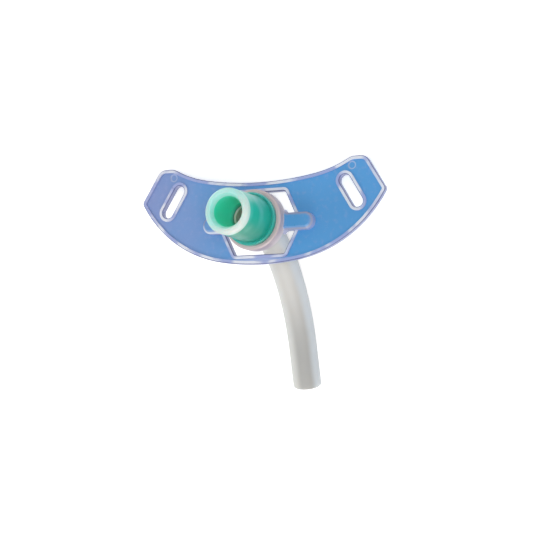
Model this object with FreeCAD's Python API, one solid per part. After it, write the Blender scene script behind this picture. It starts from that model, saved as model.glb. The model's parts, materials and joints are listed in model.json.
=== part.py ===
import FreeCAD, Part
import math
import os

# Uncuffed tracheostomy tube, lying as it comes to rest on a table.
#
# The three mouldings are modelled in the wearing frame: origin on the airway axis at the
# plate's front face, +X to one side, +Y into the neck, +Z up the neck. lay_down() then
# turns the finished tube onto its back, where it rests on the top edges of both wings
# and on the outside of the cannula's long bend. All sizes are in millimetres.

V = FreeCAD.Vector
ALONG_Y = V(0, 1, 0)

# Places nearer than this are taken as one when an edge or a face is looked for
SAME_PLACE = 1e-3

# Cannula: a soft white tube with a hub moulded round its upper end
bore_diameter = 7.5
tube_wall = 1.25
neck_bend_radius = 19.2
neck_bend_deg = 30.5
throat_bend_radius = 67.8
throat_bend_deg = 41.6
tip_straight = 14.0
tip_chamfer = 0.7
tip_bore_chamfer = 0.25
hub_diameter = 16.8
hub_thickness = 3.7
hub_chamfer = 0.3
nose_length = 4.7

# Collar: the flange's ring round the hub, standing in front of the plate
collar_standoff = 1.6
collar_lip = 1.0
collar_wall = 1.75
collar_chamfer = 0.5
bond_gap = 0.05

# Connector: a 15 mm conical male fitting with a base ring, bonded over the tube's nose
cone_mouth_diameter = 15.2
cone_taper = 1 / 40
cone_length = 18.0
mouth_chamfer = 0.7
lead_in_step = 0.9
lead_in_length = 1.7
connector_bore_diameter = 10.0
stop_bore_diameter = 8.4
stop_cone_length = 1.3
stop_gap = 0.2
base_ring_step = 1.1
base_ring_thickness = 2.0
base_ring_chamfer = 0.25
base_ring_lip = 0.35
foot_groove_depth = 0.35

# Neck plate: waisted in the middle, with a wing on each side
flange_width = 90.0
plate_thickness = 1.8
waist_above_axis = 13.6
waist_below_axis = 14.3
waist_top_radius = 110.0
waist_top_run = 20.0
waist_bottom_radius = 83.0
waist_bottom_run = 14.7
crown_height = 20.2
crown_length = 5.2
wing_end_run = 7.0
wing_tip_height = 8.8
crown_inner_round = 5.0
crown_outer_round = 3.4
wing_tip_round = 1.8
back_edge_chamfer = 0.5

# Raised rim round the plate's edge, its window and its tie slots
rim_width = 1.2
rim_height = 0.5
rim_chamfer = 0.3

# Window round the tube: six-sided, widest beside the cross bars
window_width = 28.4
window_side_z = -0.5
window_top_z = 10.1
window_top_width = 18.6
window_bottom_z = -11.0
window_bottom_width = 18.2
window_corner_round = 0.9

# Slots for the neck tape, one in each wing
slot_length = 12.3
slot_width = 3.9
slot_lean_deg = 31.0
slot_to_wing_tip = 12.2
slot_height = 8.7

# Cross bars that carry the collar in front of the window
bar_height = 5.8
bar_landing = 6.0
bar_front = 3.3
bar_sink = 0.9
bar_centre_z = -0.6
bar_chamfer = 1.1
bar_flare_round = 2.0

# Round moulding mark near the top of each wing
mark_diameter = 2.6
mark_depth = 0.2
mark_to_wing_tip = 12.0
mark_height = 17.2

# Sizes and places that follow from those above
tube_radius = bore_diameter / 2 + tube_wall
collar_back_y = -collar_standoff
hub_back_y = collar_back_y - collar_lip
hub_front_y = hub_back_y - hub_thickness
nose_front_y = hub_front_y - nose_length
collar_radius = hub_diameter / 2 + bond_gap + collar_wall
ring_front_y = hub_front_y - base_ring_thickness
mouth_y = ring_front_y - cone_length
half_width = flange_width / 2


def y_cylinder(radius, y_from, y_to, x=0.0, z=0.0):
    """A cylinder along the airway axis, or along a line beside it."""
    return Part.makeCylinder(radius, y_to - y_from, V(x, y_from, z), ALONG_Y)


def prism(wire, y_from, y_to):
    """The area inside a wire drawn in the plane y = 0, given thickness from y_from to y_to."""
    solid = Part.Face(wire).extrude(ALONG_Y * (y_to - y_from))
    solid.translate(ALONG_Y * y_from)
    return solid


def turned(profile):
    """A solid of revolution about the airway axis from (radius, y) corners."""
    corners = [V(radius, y, 0) for radius, y in profile]
    outline = Part.makePolygon(corners + corners[:1])
    return Part.Face(outline).revolve(V(0, 0, 0), ALONG_Y, 360)


def chamfered_circle(solid, radius, centre, chamfer):
    """The solid with its circular edge of this radius about this point chamfered."""
    edges = [
        edge for edge in solid.Edges
        if edge.Curve.TypeId == "Part::GeomCircle" and edge.isClosed()
        and abs(edge.Curve.Radius - radius) < SAME_PLACE
        and (edge.Curve.Center - centre).Length < SAME_PLACE
    ]
    return solid.makeChamfer(chamfer, edges)


def lies_at_y(shape, y):
    """Whether a face or an edge lies flat, square to the airway, at this y."""
    return shape.BoundBox.YLength < SAME_PLACE and abs(shape.BoundBox.YMin - y) < SAME_PLACE


def flat_face(solid, y):
    """The solid's largest flat face square to the airway at this y."""
    return max((face for face in solid.Faces if lies_at_y(face, y)), key=lambda face: face.Area)


def heading(fall_deg):
    """Unit direction along the cannula where it falls this many degrees below +Y."""
    fall = math.radians(fall_deg)
    return V(0, math.cos(fall), -math.sin(fall))


def towards_bend_centre(fall_deg):
    """Unit direction from the cannula's centreline to the centre of its bend."""
    fall = math.radians(fall_deg)
    return V(0, -math.sin(fall), -math.cos(fall))


def bends():
    """Each bend as its first point, its fall there, its radius, its turn and its centre."""
    start = V(0, collar_back_y, 0)
    fall = 0.0
    found = []
    for radius, turn in ((neck_bend_radius, neck_bend_deg), (throat_bend_radius, throat_bend_deg)):
        centre = start + towards_bend_centre(fall) * radius
        found.append((start, fall, radius, turn, centre))
        fall += turn
        start = centre - towards_bend_centre(fall) * radius
    return found


def tip_start():
    """The point and the fall where the straight tip begins."""
    start, fall, radius, turn, centre = bends()[-1]
    fall += turn
    return centre - towards_bend_centre(fall) * radius, fall


def rod_along_cannula(radius):
    """A solid rod that follows the centreline from the nose to the tip."""
    pieces = [y_cylinder(radius, nose_front_y, collar_back_y)]
    for start, fall, bend_radius, turn, centre in bends():
        section = Part.Face(Part.Wire(Part.makeCircle(radius, start, heading(fall))))
        pieces.append(section.revolve(centre, V(-1, 0, 0), turn))
    start, fall = tip_start()
    pieces.append(Part.makeCylinder(radius, tip_straight, start, heading(fall)))
    return pieces[0].fuse(pieces[1:]).removeSplitter()


def make_cannula():
    """The curved tube with its hub, open from the nose to the tip."""
    hub = y_cylinder(hub_diameter / 2, hub_front_y, hub_back_y)
    hub = chamfered_circle(hub, hub_diameter / 2, ALONG_Y * hub_front_y, hub_chamfer)
    start, fall = tip_start()
    tip = start + heading(fall) * tip_straight
    tube = rod_along_cannula(tube_radius).fuse(hub).removeSplitter()
    tube = chamfered_circle(tube, tube_radius, tip, tip_chamfer)
    tube = tube.cut(rod_along_cannula(bore_diameter / 2))
    return chamfered_circle(tube, bore_diameter / 2, tip, tip_bore_chamfer)


def make_airway_connector():
    """The conical fitting with its base ring, bored through and socketed for the nose."""
    mouth_radius = cone_mouth_diameter / 2
    foot_radius = mouth_radius + cone_length * cone_taper / 2
    ring_radius = foot_radius + base_ring_step
    groove_radius = ring_radius - base_ring_lip
    groove_y = ring_front_y + foot_groove_depth
    body = turned([
        (0, hub_front_y),
        (ring_radius, hub_front_y),
        (ring_radius, ring_front_y),
        (groove_radius, ring_front_y),
        (groove_radius, groove_y),
        (foot_radius, groove_y),
        (foot_radius, ring_front_y),
        (mouth_radius, mouth_y),
        (0, mouth_y),
    ])
    for y in (hub_front_y, ring_front_y):
        body = chamfered_circle(body, ring_radius, ALONG_Y * y, base_ring_chamfer)
    body = chamfered_circle(body, mouth_radius, ALONG_Y * mouth_y, mouth_chamfer)
    stop_y = nose_front_y - stop_gap
    socket_radius = tube_radius + bond_gap
    bore_radius = connector_bore_diameter / 2
    airway = turned([
        (0, hub_front_y),
        (socket_radius, hub_front_y),
        (socket_radius, stop_y),
        (stop_bore_diameter / 2, stop_y),
        (bore_radius, stop_y - stop_cone_length),
        (bore_radius, mouth_y + lead_in_length),
        (bore_radius + lead_in_step, mouth_y),
        (0, mouth_y),
    ])
    return body.cut(airway)


def tangent_arc(start, start_direction, end):
    """The arc from start to end that leaves start along start_direction."""
    chord = end - start
    left = V(-chord.z, 0, chord.x).normalize()
    half_turn = math.atan2(start_direction.dot(left), start_direction.dot(chord) / chord.Length)
    middle = start + chord * 0.5 + left * (chord.Length / 2 * math.tan(half_turn / 2))
    return Part.Arc(start, middle, end).toShape()


def waist_arc(run, height, bulge_radius):
    """The plate's edge across the middle: its arc, its right-hand end and the slope there."""
    rise = bulge_radius - math.sqrt(bulge_radius ** 2 - run ** 2)
    end = V(run, 0, height + rise)
    arc = Part.Arc(V(-run, 0, end.z), V(0, 0, height), end).toShape()
    slope = math.asin(run / bulge_radius)
    return arc, end, V(math.cos(slope), 0, math.sin(slope))


def plate_outline():
    """The plate's outline, with the right-hand wing mirrored to make the left-hand one."""
    top, top_end, top_slope = waist_arc(waist_top_run, waist_above_axis, waist_top_radius)
    bottom, bottom_end, bottom_slope = waist_arc(
        waist_bottom_run, -waist_below_axis, waist_bottom_radius)
    crown_outer = V(half_width - wing_end_run, 0, crown_height)
    crown_inner = crown_outer - V(crown_length, 0, 0)
    tip = V(half_width, 0, wing_tip_height)
    wing = [
        tangent_arc(top_end, top_slope, crown_inner),
        Part.LineSegment(crown_inner, crown_outer).toShape(),
        Part.LineSegment(crown_outer, tip).toShape(),
        tangent_arc(bottom_end, bottom_slope, tip),
    ]
    mirrored = [edge.mirror(V(0, 0, 0), V(1, 0, 0)) for edge in wing]
    edges = [top, bottom] + wing + mirrored
    corners = [(crown_inner, crown_inner_round), (crown_outer, crown_outer_round), (tip, wing_tip_round)]
    return Part.Wire(Part.__sortEdges__(edges)), corners


def rounded_corners(solid, corners):
    """The prism with its upright edge at each corner, and at its mirror image, rounded."""
    for corner, radius in corners:
        upright = [
            edge for edge in solid.Edges
            if edge.BoundBox.XLength < SAME_PLACE and edge.BoundBox.ZLength < SAME_PLACE
            and abs(abs(edge.BoundBox.XMin) - abs(corner.x)) < SAME_PLACE
            and abs(edge.BoundBox.ZMin - corner.z) < SAME_PLACE
        ]
        solid = solid.makeFillet(radius, upright)
    return solid


def stadium(length, width, centre_x, centre_z, lean_deg=0.0):
    """A wire with two straight sides and round ends; lean_deg turns it from lying along X."""
    half_run = (length - width) / 2
    left_top = V(-half_run, 0, width / 2)
    right_top = V(half_run, 0, width / 2)
    right_low = V(half_run, 0, -width / 2)
    left_low = V(-half_run, 0, -width / 2)
    wire = Part.Wire([
        Part.LineSegment(left_top, right_top).toShape(),
        Part.Arc(right_top, V(length / 2, 0, 0), right_low).toShape(),
        Part.LineSegment(right_low, left_low).toShape(),
        Part.Arc(left_low, V(-length / 2, 0, 0), left_top).toShape(),
    ])
    wire.rotate(V(0, 0, 0), V(0, -1, 0), lean_deg)
    wire.translate(V(centre_x, 0, centre_z))
    return wire


def window_wire():
    """The six-sided window's outline, with rounded corners."""
    corners = [
        V(-window_top_width / 2, 0, window_top_z),
        V(window_top_width / 2, 0, window_top_z),
        V(window_width / 2, 0, window_side_z),
        V(window_bottom_width / 2, 0, window_bottom_z),
        V(-window_bottom_width / 2, 0, window_bottom_z),
        V(-window_width / 2, 0, window_side_z),
    ]
    block = prism(Part.makePolygon(corners + corners[:1]), 0, plate_thickness)
    block = rounded_corners(block, [(corner, window_corner_round) for corner in corners[1:4]])
    return flat_face(block, 0).OuterWire


def slot_wires(extra=0.0):
    """The two tie slots, each drawn extra wider all round."""
    wires = []
    for side in (-1, 1):
        wires.append(stadium(
            slot_length + 2 * extra,
            slot_width + 2 * extra,
            side * (half_width - slot_to_wing_tip),
            slot_height,
            90 + side * slot_lean_deg,
        ))
    return wires


def make_plate():
    """The neck plate with its raised rims, its window and its two slots."""
    outline, corners = plate_outline()
    slab = rounded_corners(prism(outline, 0, plate_thickness), corners)
    edge_wire = flat_face(slab, 0).OuterWire
    edge_rim = prism(edge_wire, -rim_height, 0).cut(
        prism(edge_wire.makeOffset2D(-rim_width), -rim_height, 0))
    window_rim = prism(window_wire().makeOffset2D(rim_width), -rim_height, 0)
    slot_rims = [prism(wire, -rim_height, 0) for wire in slot_wires(rim_width)]
    plate = slab.fuse([edge_rim, window_rim] + slot_rims)
    holes = [prism(wire, -rim_height, plate_thickness) for wire in [window_wire()] + slot_wires()]
    plate = plate.cut(holes).removeSplitter()
    back_edges = flat_face(plate, plate_thickness).OuterWire.Edges
    plate = plate.makeChamfer(back_edge_chamfer, back_edges)
    through_walls = [face for face in plate.Faces if face.BoundBox.YLength > rim_height + SAME_PLACE]
    front_edges = [
        edge for wall in through_walls for edge in wall.Edges if lies_at_y(edge, -rim_height)
    ]
    return plate.makeChamfer(rim_chamfer, front_edges)


def bar_wire(side):
    """One cross bar's outline, flared by an arc above and below where it meets the collar."""
    end_x = side * (window_width / 2 + bar_landing - bar_height / 2)
    round_end = Part.Arc(
        V(end_x, 0, bar_centre_z + bar_height / 2),
        V(end_x + side * bar_height / 2, 0, bar_centre_z),
        V(end_x, 0, bar_centre_z - bar_height / 2),
    ).toShape()
    edges = [round_end]
    inner_corners = []
    for up in (1, -1):
        edge_z = bar_centre_z + up * bar_height / 2
        centre_z = edge_z + up * bar_flare_round
        centre_x = side * math.sqrt((collar_radius + bar_flare_round) ** 2 - centre_z ** 2)
        centre = V(centre_x, 0, centre_z)
        on_collar = centre * (collar_radius / centre.Length)
        on_bar = V(centre_x, 0, edge_z)
        half_way = (on_collar + on_bar) * 0.5 - centre
        middle = centre + half_way * (bar_flare_round / half_way.Length)
        inner_corner = on_collar * (tube_radius / collar_radius)
        edges.append(Part.LineSegment(V(end_x, 0, edge_z), on_bar).toShape())
        edges.append(Part.Arc(on_bar, middle, on_collar).toShape())
        edges.append(Part.LineSegment(on_collar, inner_corner).toShape())
        inner_corners.append(inner_corner)
    edges.append(Part.LineSegment(*inner_corners).toShape())
    return Part.Wire(Part.__sortEdges__(edges))


def make_cross_bar(side):
    """A bar from a round end on the plate, across the window and into the collar's wall."""
    bar = prism(bar_wire(side), -bar_front, bar_sink)
    outer_edges = [
        edge for edge in flat_face(bar, -bar_front).OuterWire.Edges
        if math.hypot(edge.CenterOfMass.x, edge.CenterOfMass.z) > collar_radius
    ]
    bar = bar.makeChamfer(bar_chamfer, outer_edges)
    return bar.cut(y_cylinder(collar_radius - collar_wall / 2, -bar_front, bar_sink))


def make_collar():
    """The ring round the hub, with a lip behind it that the tube passes through."""
    collar = y_cylinder(collar_radius, hub_front_y, collar_back_y)
    collar = chamfered_circle(collar, collar_radius, ALONG_Y * hub_front_y, collar_chamfer)
    seat = y_cylinder(hub_diameter / 2 + bond_gap, hub_front_y, hub_back_y)
    passage = y_cylinder(tube_radius + bond_gap, hub_back_y, collar_back_y)
    return collar.cut([seat, passage])


def make_neck_flange():
    """The soft moulding that lies on the neck: plate, cross bars and collar in one."""
    flange = make_plate().fuse([make_cross_bar(-1), make_cross_bar(1), make_collar()])
    for side in (-1, 1):
        x = side * (half_width - mark_to_wing_tip)
        flange = flange.cut(y_cylinder(mark_diameter / 2, 0, mark_depth, x, mark_height))
    return flange.removeSplitter()


def table_direction_deg():
    """The way down to the table as the tube rests, in degrees from +Y towards +Z.

    Seen from the side, the table runs through a corner, the chamfered back edge of the
    wings' crowns, and touches a circle, the outside of the cannula's long bend.
    """
    crown = V(0, plate_thickness, crown_height - back_edge_chamfer)
    apart = bends()[-1][-1] - crown
    reach = throat_bend_radius + tube_radius
    down = math.atan2(apart.z, apart.y) + math.pi - math.acos(reach / apart.Length)
    return math.degrees(down)


def lay_down(nodes):
    """The parts on the table z = 0, mouth towards -Y, centred on their bounding box."""
    tipped = FreeCAD.Rotation(V(1, 0, 0), -90 - table_direction_deg())
    turn = FreeCAD.Rotation(V(0, 0, 1), 180).multiply(tipped)
    laid = {}
    for name, shape in nodes.items():
        laid[name] = shape.Solids[0].copy()
        laid[name].Placement = FreeCAD.Placement(V(0, 0, 0), turn)
    box = Part.Compound(list(laid.values())).optimalBoundingBox(False, False)
    for shape in laid.values():
        shape.translate(V(-box.Center.x, -box.Center.y, -box.ZMin))
    return laid


def main():
    """Model the three pieces, lay them down and write one file for each."""
    nodes = lay_down({
        "neck_flange": make_neck_flange(),
        "cannula": make_cannula(),
        "airway_connector": make_airway_connector(),
    })
    os.makedirs("parts", exist_ok=True)
    for name, shape in nodes.items():
        shape.exportStep("parts/" + name + ".step")


main()
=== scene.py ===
import json
import math

import bpy
from mathutils import Matrix, Vector

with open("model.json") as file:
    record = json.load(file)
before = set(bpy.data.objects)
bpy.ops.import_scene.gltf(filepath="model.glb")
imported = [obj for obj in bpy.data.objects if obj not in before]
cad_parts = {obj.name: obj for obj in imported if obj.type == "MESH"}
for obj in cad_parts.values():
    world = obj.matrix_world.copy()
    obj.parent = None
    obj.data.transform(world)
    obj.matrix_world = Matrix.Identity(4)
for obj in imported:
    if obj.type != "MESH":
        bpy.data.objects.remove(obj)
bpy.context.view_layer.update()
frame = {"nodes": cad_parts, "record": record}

MM = 0.001
WHITE = (1, 1, 1, 1)

# The wearing frame: origin on the airway axis at the plate's front face, X along the
# plate to the photo's right, Y into the neck, Z up the neck. The tube lies on its back in
# the row frame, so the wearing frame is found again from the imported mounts.
PLATE_THICKNESS = 1.8
mounts = {mount["name"]: mount for mount in frame["record"]["mounts"]}
mouth = Vector(mounts["connector_cone"]["pos_m"])
neck_face = Vector(mounts["neck_face"]["pos_m"])
wear_y = Vector(mounts["neck_face"]["axis"]).normalized()
slot_to_slot = Vector(mounts["tape_slot_right"]["pos_m"]) - Vector(mounts["tape_slot_left"]["pos_m"])
wear_x = slot_to_slot.normalized()
wear_z = wear_x.cross(wear_y)
wear_origin = mouth + wear_y * ((neck_face - mouth).dot(wear_y) - PLATE_THICKNESS * MM)

# Sizes of the part that the materials follow, in mm in the wearing frame. A front or back
# is a place along Y, and the plate's front face is at 0.
RIM_FRONT = -0.5
COLLAR_BACK = -1.6
COLLAR_RADIUS = 10.2
RING_FRONT = -8.3
CONE_FOOT_RADIUS = 7.83
GROOVE_RADIUS = 8.58
BORE_RADIUS = 5.0
BAR_FRONT = -3.3
BAR_CENTRE_Z = -0.6
WINDOW_BOTTOM_Z = -11.0
WINDOW_HALF_WIDTH = 14.2
MARK_X = 33.0
MARK_Z = 17.2
MARK_RADIUS = 1.3
TUBE_RADIUS = 5.0
MOUTH_FRONT = (mouth - wear_origin).dot(wear_y) / MM


def turned(x, y, z):
    """A direction of the wearing frame in the row frame."""
    return wear_x * x + wear_y * y + wear_z * z


def placed(x, y, z):
    """A point of the wearing frame, in mm, in the row frame, in metres."""
    return wear_origin + turned(x, y, z) * MM


def linear(value):
    """One colour value from 0 to 255 as the linear value that shaders take (sRGB curve)."""
    share = value / 255
    if share <= 0.04045:
        return share / 12.92
    return ((share + 0.055) / 1.055) ** 2.4


def srgb(red, green, blue):
    """A colour from its values as a picture shows them, 0 to 255."""
    return (linear(red), linear(green), linear(blue), 1.0)


# Camera: the photo's perspective, fitted in the wearing frame, with lengths in mm
CAMERA_AIM = (2.58, 0.0, -15.11)
CAMERA_DISTANCE = 474.72
CAMERA_AZIMUTH = math.radians(24.352)
CAMERA_ELEVATION = math.radians(-6.809)
CAMERA_ROLL = math.radians(0.517)
CAMERA_LENS = 96.01
SENSOR_WIDTH = 36.0

# The nearest and farthest that the camera sees, in metres
CLIP_NEAR = 0.01
CLIP_FAR = 20.0


def camera_axes():
    """The directions to the camera's right, its top and its back, in the row frame."""
    level = math.cos(CAMERA_ELEVATION)
    back = turned(
        math.sin(CAMERA_AZIMUTH) * level,
        -math.cos(CAMERA_AZIMUTH) * level,
        math.sin(CAMERA_ELEVATION),
    )
    side = turned(math.cos(CAMERA_AZIMUTH), math.sin(CAMERA_AZIMUTH), 0)
    upright = back.cross(side)
    right_light = side * math.cos(CAMERA_ROLL) + upright * math.sin(CAMERA_ROLL)
    return right_light, back.cross(right_light), back


def make_camera():
    """The camera at the photo's angle to the tube, which is looking down at the table."""
    data = bpy.data.cameras.new("camera")
    data.sensor_width = SENSOR_WIDTH
    data.lens = CAMERA_LENS
    data.clip_start = CLIP_NEAR
    data.clip_end = CLIP_FAR
    camera = bpy.data.objects.new("camera", data)
    bpy.context.scene.collection.objects.link(camera)
    bpy.context.scene.camera = camera
    right_light, up, back = camera_axes()
    axes = Matrix((right_light, up, back)).transposed().to_4x4()
    place = placed(*CAMERA_AIM) + back * CAMERA_DISTANCE * MM
    camera.matrix_world = Matrix.Translation(place) @ axes


# Lamps: the key lamp shines from the photo's lower side, the side lamp from its left and
# the front lamp from near the camera. Each has its direction from the tube in the row
# frame, its size in metres and its power in watts.
LAMP_DISTANCE = 0.9
LAMPS = (
    ("key_softbox", (-0.2, 0.55, 0.9), 0.55, 3.4),
    ("side_softbox", (0.9, -0.35, 0.55), 0.4, 2.0),
    ("front_softbox", (-0.41, -0.48, 0.78), 0.4, 3.0),
)


def softbox(name, direction, size, power):
    """A square lamp that shines on the middle of the plate from this direction."""
    data = bpy.data.lights.new(name, "AREA")
    data.shape = "SQUARE"
    data.size = size
    data.energy = power
    lamp = bpy.data.objects.new(name, data)
    bpy.context.scene.collection.objects.link(lamp)
    towards = Vector(direction).normalized()
    lamp.location = placed(0, 0, 0) + towards * LAMP_DISTANCE
    lamp.rotation_mode = "QUATERNION"
    lamp.rotation_quaternion = towards.to_track_quat("Z", "Y")


def make_lights():
    """Three large softboxes over the table; the white world and the floor fill the rest."""
    for name, direction, size, power in LAMPS:
        softbox(name, direction, size, power)


# Surround

WORLD_LEVEL = 0.34
BACKDROP_LEVEL = 1.0


def seen_directly(nodes, links):
    """1 for rays from the camera, off gloss or through clear matter, otherwise 0."""
    path = nodes.new("ShaderNodeLightPath")
    seen = path.outputs["Is Camera Ray"]
    for kind in ("Is Glossy Ray", "Is Transmission Ray"):
        either = nodes.new("ShaderNodeMath")
        either.operation = "MAXIMUM"
        links.new(seen, either.inputs[0])
        links.new(path.outputs[kind], either.inputs[1])
        seen = either.outputs[0]
    return seen


def make_world():
    """An even white surround, which the camera and clear materials see as plain white."""
    world = bpy.data.worlds.new("studio")
    bpy.context.scene.world = world
    world.use_nodes = True
    nodes, links = world.node_tree.nodes, world.node_tree.links
    surround = nodes["Background"]
    backdrop = nodes.new("ShaderNodeBackground")
    for light, level in ((surround, WORLD_LEVEL), (backdrop, BACKDROP_LEVEL)):
        light.inputs["Color"].default_value = WHITE
        light.inputs["Strength"].default_value = level
    mix = nodes.new("ShaderNodeMixShader")
    links.new(seen_directly(nodes, links), mix.inputs[0])
    links.new(surround.outputs[0], mix.inputs[1])
    links.new(backdrop.outputs[0], mix.inputs[2])
    links.new(mix.outputs[0], nodes["World Output"].inputs["Surface"])


# Node building

class Recipe:
    """A material whose nodes are made and joined in one line each.

    x, y, z and radius are a point's place in the wearing frame in mm, and facing_out is 1
    where the surface faces the front or the back of the plate and 0 where it stands on edge.
    """

    def __init__(self, name):
        self.material = bpy.data.materials.new(name)
        self.material.use_nodes = True
        self.nodes = self.material.node_tree.nodes
        self.links = self.material.node_tree.links
        self.shader = self.nodes["Principled BSDF"]
        row_place = self.nodes.new("ShaderNodeTexCoord").outputs["Object"]
        from_origin = self.vector("SUBTRACT", row_place, wear_origin)
        self.x = self.along(from_origin, wear_x)
        self.y = self.along(from_origin, wear_y)
        self.z = self.along(from_origin, wear_z)
        self.radius = self.diagonal(self.x, self.z)
        self.place = self.joined(self.x, self.y, self.z)
        normal = self.nodes.new("ShaderNodeNewGeometry").outputs["Normal"]
        self.facing_out = self.maths("ABSOLUTE", self.vector("DOT_PRODUCT", normal, wear_y))

    def feed(self, socket, value):
        """Join a socket to another node's output, or set it to a plain value."""
        if isinstance(value, bpy.types.NodeSocket):
            self.links.new(value, socket)
        else:
            socket.default_value = value

    def maths(self, operation, first, second=0.0):
        """One sum with numbers; the second is for operations that take two."""
        node = self.nodes.new("ShaderNodeMath")
        node.operation = operation
        self.feed(node.inputs[0], first)
        self.feed(node.inputs[1], second)
        return node.outputs[0]

    def vector(self, operation, first, second):
        """One sum with vectors, which gives a number for a dot product."""
        node = self.nodes.new("ShaderNodeVectorMath")
        node.operation = operation
        self.feed(node.inputs[0], first)
        self.feed(node.inputs[1], second)
        return node.outputs["Value" if operation == "DOT_PRODUCT" else "Vector"]

    def product(self, first, second):
        """The first times the second."""
        return self.maths("MULTIPLY", first, second)

    def difference(self, first, second):
        """The first less the second."""
        return self.maths("SUBTRACT", first, second)

    def diagonal(self, first, second):
        """How far a point is that lies this far along two directions square to each other."""
        squares = self.maths("ADD", self.product(first, first), self.product(second, second))
        return self.maths("SQRT", squares)

    def along(self, from_origin, axis):
        """How far a place lies along an axis of the wearing frame, in mm."""
        return self.maths("DIVIDE", self.vector("DOT_PRODUCT", from_origin, axis), MM)

    def joined(self, x, y, z):
        """Three numbers as one vector."""
        node = self.nodes.new("ShaderNodeCombineXYZ")
        for socket, value in zip(node.inputs, (x, y, z)):
            self.feed(socket, value)
        return node.outputs[0]

    def ramp(self, value, start, end, low=0.0, high=1.0):
        """A smooth step of the value from low at start to high at end."""
        node = self.nodes.new("ShaderNodeMapRange")
        node.interpolation_type = "SMOOTHSTEP"
        node.inputs["From Min"].default_value = start
        node.inputs["From Max"].default_value = end
        node.inputs["To Min"].default_value = low
        node.inputs["To Max"].default_value = high
        self.feed(node.inputs["Value"], value)
        return node.outputs[0]

    def band(self, value, start, end, soft):
        """1 where the value is between start and end, with soft edges."""
        risen = self.ramp(value, start - soft, start)
        not_fallen = self.ramp(value, end, end + soft, 1.0, 0.0)
        return self.product(risen, not_fallen)

    def noise(self, scale, detail=3.0, squeeze=(1, 1, 1)):
        """Smooth random variation; scale is in turns per mm, times squeeze on each axis."""
        node = self.nodes.new("ShaderNodeTexNoise")
        node.inputs["Scale"].default_value = scale
        node.inputs["Detail"].default_value = detail
        self.feed(node.inputs["Vector"], self.vector("MULTIPLY", self.place, squeeze))
        return node.outputs["Fac"]

    def mix(self, share, first, second):
        """A colour that goes from the first to the second as the share goes from 0 to 1."""
        node = self.nodes.new("ShaderNodeMix")
        node.data_type = "RGBA"
        self.feed(node.inputs["Factor"], share)
        self.feed(node.inputs["A"], first)
        self.feed(node.inputs["B"], second)
        return node.outputs["Result"]

    def bump(self, height, distance, strength):
        """Fine relief; distance is in metres."""
        node = self.nodes.new("ShaderNodeBump")
        node.inputs["Distance"].default_value = distance
        node.inputs["Strength"].default_value = strength
        self.feed(node.inputs["Height"], height)
        self.links.new(node.outputs[0], self.shader.inputs["Normal"])

    def finish(self, **values):
        """Set the shader's own sockets, named with _ for spaces."""
        for name, value in values.items():
            self.feed(self.shader.inputs[name.replace("_", " ")], value)
        return self.material


# How the numbers of the materials are named. A span says where a change starts and where it
# is complete, in mm in the wearing frame. Noise and facing pairs say the same on the scale
# of 0 to 1 that noise and facing_out have. A band holds between its two numbers and fades
# over its softness on both sides. A strength is the share of the change that is laid on,
# and where there are two, they hold at the start and at the end of the span.

# Blue plate

PLATE_BLUE = srgb(88, 163, 224)
# Painted light: lilac blue towards the left, where the light falls, mixed with slow random drifts
PLATE_LIT_LILAC_BLUE = srgb(138, 156, 208)
# Painted light: the rims' pale lilac sheen; the same lilac makes the random pale flecks
RIM_SHEEN_AND_FLECK_LILAC = srgb(170, 180, 226)
# Painted highlight white, on the rims and below the left bar
PAINTED_HIGHLIGHT_WHITE = srgb(244, 245, 252)
# Painted highlight on the edge of each moulding mark
MARK_HIGHLIGHT_PALE = srgb(200, 214, 240)
# Painted shade: dark outlines on sloping edges, and grey shade on the bars
EDGE_SHADE_VIOLET = srgb(88, 92, 150)
BAR_SHADE = srgb(176, 170, 190)
# Painted light on walls that stand on edge
WALL_LIGHT_LILAC = srgb(184, 186, 222)
STRIP_LILAC = srgb(204, 214, 246)
COLLAR_GREY = srgb(212, 194, 196)
COLLAR_PALE = srgb(236, 222, 222)

LEFTWARD_SPAN = (4.0, -42.0)
DRIFT_NOISE = (-0.2, 0.7)
FLECK_NOISE = (0.5, 0.72)
FLECK_STRENGTH = 0.2


def sheet_blue(r):
    """Blue with slow random drifts to lilac, made stronger to the photo's left as painted light from
    that side, with small pale flecks.
    """
    # Painted light: the lilac grows towards the left
    lit_leftward = r.ramp(r.x, *LEFTWARD_SPAN)
    drift = r.ramp(r.noise(scale=0.05), *DRIFT_NOISE)
    blue = r.mix(r.product(lit_leftward, drift), PLATE_BLUE, PLATE_LIT_LILAC_BLUE)
    flecks = r.ramp(r.noise(scale=0.6, detail=4.0), *FLECK_NOISE)
    return r.mix(r.product(flecks, FLECK_STRENGTH), blue, RIM_SHEEN_AND_FLECK_LILAC)


STRIP_TOP_SPAN = (WINDOW_BOTTOM_Z, WINDOW_BOTTOM_Z - 1.5)
STRIP_SIDE_SPAN = (WINDOW_HALF_WIDTH, 2.0)
STRIP_STRENGTH = 0.75


def with_strip(r, colour):
    """The strip of sheet below the window is paler towards its middle."""
    below_window = r.ramp(r.z, *STRIP_TOP_SPAN)
    central = r.ramp(r.maths("ABSOLUTE", r.x), *STRIP_SIDE_SPAN)
    strip = r.product(below_window, central)
    return r.mix(r.product(strip, STRIP_STRENGTH), colour, STRIP_LILAC)


RIM_START_SPAN = (RIM_FRONT * 0.2, RIM_FRONT * 0.7)
RIM_END_SPAN = (RIM_FRONT * 1.4, RIM_FRONT * 1.2)
GLINT_NOISE = (0.42, 0.56)
RIM_STRENGTH = 0.9


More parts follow.
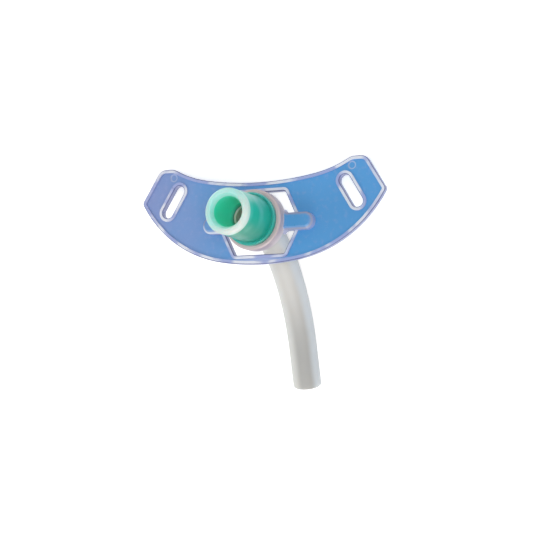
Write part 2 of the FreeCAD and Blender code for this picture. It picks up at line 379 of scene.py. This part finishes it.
def with_rim_highlights(r, colour):
    """Painted light on the raised rims: a pale lilac sheen, broken by painted white highlights in
    noisy stretches.
    """
    rim = r.product(r.ramp(r.y, *RIM_START_SPAN), r.ramp(r.y, *RIM_END_SPAN))
    # Painted highlights: white glints along the rims
    painted_glints = r.ramp(r.noise(scale=0.1, detail=2.0), *GLINT_NOISE)
    rim_highlight_colour = r.mix(painted_glints, RIM_SHEEN_AND_FLECK_LILAC, PAINTED_HIGHLIGHT_WHITE)
    return r.mix(r.product(rim, RIM_STRENGTH), colour, rim_highlight_colour)


MARK_BAND = (MARK_RADIUS - 0.25, MARK_RADIUS + 0.05)
MARK_SOFTNESS = 0.15
MARK_STRENGTH = 0.6


def with_mark_highlights(r, colour):
    """A painted highlight: a pale line round the edge of the round moulding mark on each wing."""
    sideways = r.difference(r.maths("ABSOLUTE", r.x), MARK_X)
    upwards = r.difference(r.z, MARK_Z)
    mark_highlight = r.band(r.diagonal(sideways, upwards), *MARK_BAND, MARK_SOFTNESS)
    return r.mix(r.product(mark_highlight, MARK_STRENGTH), colour, MARK_HIGHLIGHT_PALE)


SLOPE_FACING_BAND = (0.35, 0.75)
SLOPE_SOFTNESS = 0.15
FRONT_SPAN = (PLATE_THICKNESS * 0.6, PLATE_THICKNESS * 0.3)
BAR_SPAN = (BAR_FRONT * 0.3, BAR_FRONT * 0.4)
BAR_LOWER_SPAN = (BAR_CENTRE_Z + 0.5, BAR_CENTRE_Z - 0.5)
BAR_LEFT_SPAN = (1.0, -1.0)
BAR_CHAMFER_SPAN = (BAR_FRONT * 0.92, BAR_FRONT * 0.78)
SLOPE_STRENGTHS = (0.15, 0.8)


def with_edge_shade_and_highlight(r, colour):
    """Painted shade on sloping edges in front: dark violet, grey on the bars, with a painted white
    highlight below on the left bar.
    """
    slanting = r.band(r.facing_out, *SLOPE_FACING_BAND, SLOPE_SOFTNESS)
    slope = r.product(slanting, r.ramp(r.y, *FRONT_SPAN))
    # Painted highlight: white on the lower side of the left bar
    lower_left_highlight = r.product(r.ramp(r.z, *BAR_LOWER_SPAN), r.ramp(r.x, *BAR_LEFT_SPAN))
    bar_edge_shade_and_highlight = r.mix(lower_left_highlight, BAR_SHADE, PAINTED_HIGHLIGHT_WHITE)
    edge_shade_and_highlight_colour = r.mix(r.ramp(r.y, *BAR_SPAN), EDGE_SHADE_VIOLET, bar_edge_shade_and_highlight)
    strength = r.ramp(r.y, *BAR_CHAMFER_SPAN, *SLOPE_STRENGTHS)
    return r.mix(r.product(slope, strength), colour, edge_shade_and_highlight_colour)


WALL_FACING = (0.35, 0.1)
WALL_STRENGTH = 0.85


def with_lit_walls(r, colour):
    """Painted light: walls that stand square to the plate are pale lilac, where their edges catch
    light.
    """
    lit_wall = r.ramp(r.facing_out, *WALL_FACING)
    return r.mix(r.product(lit_wall, WALL_STRENGTH), colour, WALL_LIGHT_LILAC)


COLLAR_RADIUS_SPAN = (COLLAR_RADIUS + 0.3, COLLAR_RADIUS - 0.1)
COLLAR_BACK_SPAN = (COLLAR_BACK + 0.2, COLLAR_BACK)
COLLAR_SHADE_SPAN = (RING_FRONT * 0.6, COLLAR_BACK)


def with_collar(r, colour):
    """The collar is a warm grey in front and paler towards the plate."""
    collar = r.product(r.ramp(r.radius, *COLLAR_RADIUS_SPAN), r.ramp(r.y, *COLLAR_BACK_SPAN))
    collar_colour = r.mix(r.ramp(r.y, *COLLAR_SHADE_SPAN), COLLAR_GREY, COLLAR_PALE)
    return r.mix(collar, colour, collar_colour)


PLATE_ROUGHNESS = 0.24
PLATE_ROUGHNESS_RANGE = 0.12


def blue_soft_pvc():
    """Soft translucent sheet: blue in the mass, with painted light where the rims and edges catch
    light and painted shade on sloping edges.
    """
    r = Recipe("blue_soft_pvc_dressed")
    colour = sheet_blue(r)
    for layer in (with_strip, with_rim_highlights, with_mark_highlights, with_edge_shade_and_highlight, with_lit_walls, with_collar):
        colour = layer(r, colour)
    uneven = r.product(r.noise(scale=0.4), PLATE_ROUGHNESS_RANGE)
    r.bump(r.noise(scale=4.0), distance=0.00003, strength=0.5)
    return r.finish(
        Base_Color=colour,
        Roughness=r.maths("ADD", PLATE_ROUGHNESS, uneven),
        Transmission_Weight=0.15,
        IOR=1.45,
    )


# White tube

TUBE_IVORY = srgb(226, 222, 215)
# Painted shade towards the tip; the same colour makes the random cloudiness
TUBE_SHADE_AND_CLOUD = srgb(170, 170, 168)
# Painted light at the tube's two sides
TUBE_LEFT_LIGHT = srgb(240, 240, 234)
TUBE_RIGHT_LIGHT = srgb(224, 233, 240)
# The nose's cream, lightened as painted light that stands for light through the green wall
NOSE_CREAM_AND_LIGHT = srgb(250, 244, 226)

TUBE_SHADE_SPAN = (-10.0, -44.0)
TUBE_SHADE_STRENGTHS = (0.15, 0.9)
TUBE_LEFT_SPAN = (TUBE_RADIUS * 0.05, TUBE_RADIUS * -0.7)
TUBE_LEFT_STRENGTH = 0.85
TUBE_RIGHT_SPAN = (TUBE_RADIUS * 0.6, TUBE_RADIUS)
TUBE_RIGHT_STRENGTH = 0.8
CLOUD_STRENGTH = 0.25
NOSE_SPAN = (RING_FRONT + 1.0, RING_FRONT)


def white_soft_pvc():
    """Satin white PVC, slightly cloudy, with painted shade deepening towards the tip, painted light
    at both sides and a cream nose lightened as painted light.
    """
    r = Recipe("white_soft_pvc_dressed")
    # Painted shade: darker towards the tip
    painted_shade = r.ramp(r.z, *TUBE_SHADE_SPAN, *TUBE_SHADE_STRENGTHS)
    colour = r.mix(painted_shade, TUBE_IVORY, TUBE_SHADE_AND_CLOUD)
    # Painted light: paler towards both sides of the tube, most on the left
    left_light = r.ramp(r.x, *TUBE_LEFT_SPAN)
    colour = r.mix(r.product(left_light, TUBE_LEFT_STRENGTH), colour, TUBE_LEFT_LIGHT)
    right_light = r.ramp(r.x, *TUBE_RIGHT_SPAN)
    colour = r.mix(r.product(right_light, TUBE_RIGHT_STRENGTH), colour, TUBE_RIGHT_LIGHT)
    colour = r.mix(r.product(r.noise(scale=0.12), CLOUD_STRENGTH), colour, TUBE_SHADE_AND_CLOUD)
    # The nose is cream, lightened as painted light
    colour = r.mix(r.ramp(r.y, *NOSE_SPAN), colour, NOSE_CREAM_AND_LIGHT)
    r.bump(r.noise(scale=3.0), distance=0.00003, strength=0.4)
    return r.finish(
        Base_Color=colour,
        Roughness=0.38,
        Subsurface_Weight=0.6,
        Subsurface_Radius=(1.0, 0.9, 0.8),
        Subsurface_Scale=0.004,
        IOR=1.45,
    )


# Green connector

CONE_GREEN = srgb(14, 190, 162)
# Painted reflection as pale streaks, and painted shade below
CONE_REFLECTION_PALE = srgb(120, 204, 194)
CONE_PAINTED_SHADE = srgb(6, 158, 134)
# Painted light on the mouth's cut end, paler to the lower right
MOUTH_LIT_MINT = srgb(172, 222, 210)
MOUTH_LIT_PALE = srgb(214, 232, 218)
GROOVE_GREEN = srgb(44, 186, 166)
# Painted light: paler green inside the bore
BORE_LIT_GREEN = srgb(92, 222, 186)

CONE_SHADE_SPAN = (2.0, -7.0)
STREAK_NOISE = (0.4, 0.75)
STREAK_SPAN = (-5.0, 5.0)
STREAK_STRENGTHS = (0.1, 0.8)


def cone_green(r):
    """Emerald with painted shade deepening below, and painted reflections as wide pale streaks that
    are stronger on the right.
    """
    # Painted shade below, then painted reflections as streaks
    green = r.mix(r.ramp(r.z, *CONE_SHADE_SPAN), CONE_GREEN, CONE_PAINTED_SHADE)
    painted_reflections = r.ramp(r.noise(scale=0.16, detail=1.0, squeeze=(0.6, 1, 0.6)), *STREAK_NOISE)
    rightward = r.ramp(r.x, *STREAK_SPAN, *STREAK_STRENGTHS)
    return r.mix(r.product(painted_reflections, rightward), green, CONE_REFLECTION_PALE)


# How far the mint reaches back from the mouth, in mm, and the shares of it where it fades
MINT_OUTSIDE = 2.4
MINT_INSIDE = 1.75
MINT_FADE = (1.1, 0.85)
MOUTH_LIGHT_SPAN = (-3.0, 10.0)


def with_lit_mint_mouth(r, inside, colour):
    """Painted light: the mouth's cut end is mint where it gathers light, paler to the lower right;
    inside, the mint reaches less far.
    """
    from_mouth = r.difference(r.y, MOUTH_FRONT)
    shorter_inside = r.product(inside, MINT_OUTSIDE - MINT_INSIDE)
    mint_length = r.difference(MINT_OUTSIDE, shorter_inside)
    mint = r.ramp(r.maths("DIVIDE", from_mouth, mint_length), *MINT_FADE)
    lit_lower_right = r.ramp(r.difference(r.x, r.z), *MOUTH_LIGHT_SPAN)
    return r.mix(mint, colour, r.mix(lit_lower_right, MOUTH_LIT_MINT, MOUTH_LIT_PALE))


GROOVE_DEPTH_BAND = (RING_FRONT - 0.1, RING_FRONT + 0.5)
GROOVE_DEPTH_SOFTNESS = 0.1
GROOVE_RADIUS_BAND = (CONE_FOOT_RADIUS, GROOVE_RADIUS)
GROOVE_RADIUS_SOFTNESS = 0.08


def with_groove(r, colour):
    """The groove round the cone's foot is a brighter green."""
    deep = r.band(r.y, *GROOVE_DEPTH_BAND, GROOVE_DEPTH_SOFTNESS)
    groove = r.product(deep, r.band(r.radius, *GROOVE_RADIUS_BAND, GROOVE_RADIUS_SOFTNESS))
    return r.mix(groove, colour, GROOVE_GREEN)


BORE_SPAN = (BORE_RADIUS + 1.1, BORE_RADIUS + 0.9)


def green_plastic():
    """Glossy emerald plastic, with painted light: pale mint where the mouth's cut end gathers light
    and paler green inside the bore.
    """
    r = Recipe("green_plastic_dressed")
    inside = r.ramp(r.radius, *BORE_SPAN)
    # Painted light: the bore is paler green, as if lit through its walls
    colour = r.mix(inside, cone_green(r), BORE_LIT_GREEN)
    colour = with_lit_mint_mouth(r, inside, colour)
    colour = with_groove(r, colour)
    r.bump(r.noise(scale=0.8, detail=1.0), distance=0.0001, strength=0.25)
    return r.finish(
        Base_Color=colour,
        Roughness=0.32,
        Subsurface_Weight=1.0,
        Subsurface_Radius=(1.0, 3.0, 2.5),
        Subsurface_Scale=0.004,
        IOR=1.5,
    )


# Carried-over pieces: each node with the rounding of its edges in mm and its material
LOOKS = (
    ("neck_flange", 0.14, blue_soft_pvc),
    ("cannula", 0.2, white_soft_pvc),
    ("airway_connector", 0.22, green_plastic),
)

# Corners nearer to each other than this, in metres, are joined, and so are faces that meet
# at less than this angle
SAME_CORNER = 1e-6
FLAT_ANGLE = math.radians(0.2)

# Edges sharper than this are rounded, in this many steps
SHARP_ANGLE = math.radians(25)
ROUNDING_STEPS = 3


def soften(piece, rounding):
    """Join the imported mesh's faces, round its edges a little and shade it smooth."""
    weld = piece.modifiers.new("weld", "WELD")
    weld.merge_threshold = SAME_CORNER
    merge = piece.modifiers.new("merge_flat_faces", "DECIMATE")
    merge.decimate_type = "DISSOLVE"
    merge.angle_limit = FLAT_ANGLE
    bevel = piece.modifiers.new("edge_round", "BEVEL")
    bevel.width = rounding * MM
    bevel.segments = ROUNDING_STEPS
    bevel.limit_method = "ANGLE"
    bevel.angle_limit = SHARP_ANGLE
    bevel.use_clamp_overlap = True
    normals = piece.modifiers.new("even_normals", "WEIGHTED_NORMAL")
    normals.keep_sharp = False


def dress_pieces():
    """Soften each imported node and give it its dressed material."""
    for node, rounding, material in LOOKS:
        piece = frame["nodes"][node]
        soften(piece, rounding)
        piece.data.materials.clear()
        piece.data.materials.append(material())


# Floor

FLOOR_SIZE = 0.9
FLOOR_GREY = 0.8
FLOOR_ROUGHNESS = 0.9
FLOOR_LIFT = 0.56


def pale_floor():
    """Matt pale grey, lifted to near white where it is seen directly."""
    material = bpy.data.materials.new("pale_floor")
    material.use_nodes = True
    nodes, links = material.node_tree.nodes, material.node_tree.links
    surface = nodes["Principled BSDF"]
    surface.inputs["Base Color"].default_value = (FLOOR_GREY, FLOOR_GREY, FLOOR_GREY, 1)
    surface.inputs["Roughness"].default_value = FLOOR_ROUGHNESS
    surface.inputs["Specular IOR Level"].default_value = 0.0
    surface.inputs["Emission Color"].default_value = WHITE
    lift = nodes.new("ShaderNodeMath")
    lift.operation = "MULTIPLY"
    lift.inputs[1].default_value = FLOOR_LIFT
    links.new(seen_directly(nodes, links), lift.inputs[0])
    links.new(lift.outputs[0], surface.inputs["Emission Strength"])
    return material


def make_floor():
    """A table top that takes the tube's shadow."""
    bpy.ops.mesh.primitive_plane_add(size=FLOOR_SIZE)
    floor = bpy.context.object
    floor.name = "floor"
    floor.data.materials.append(pale_floor())


make_camera()
dress_pieces()
make_floor()
make_lights()
make_world()
bpy.context.scene.view_settings.view_transform = "Standard"
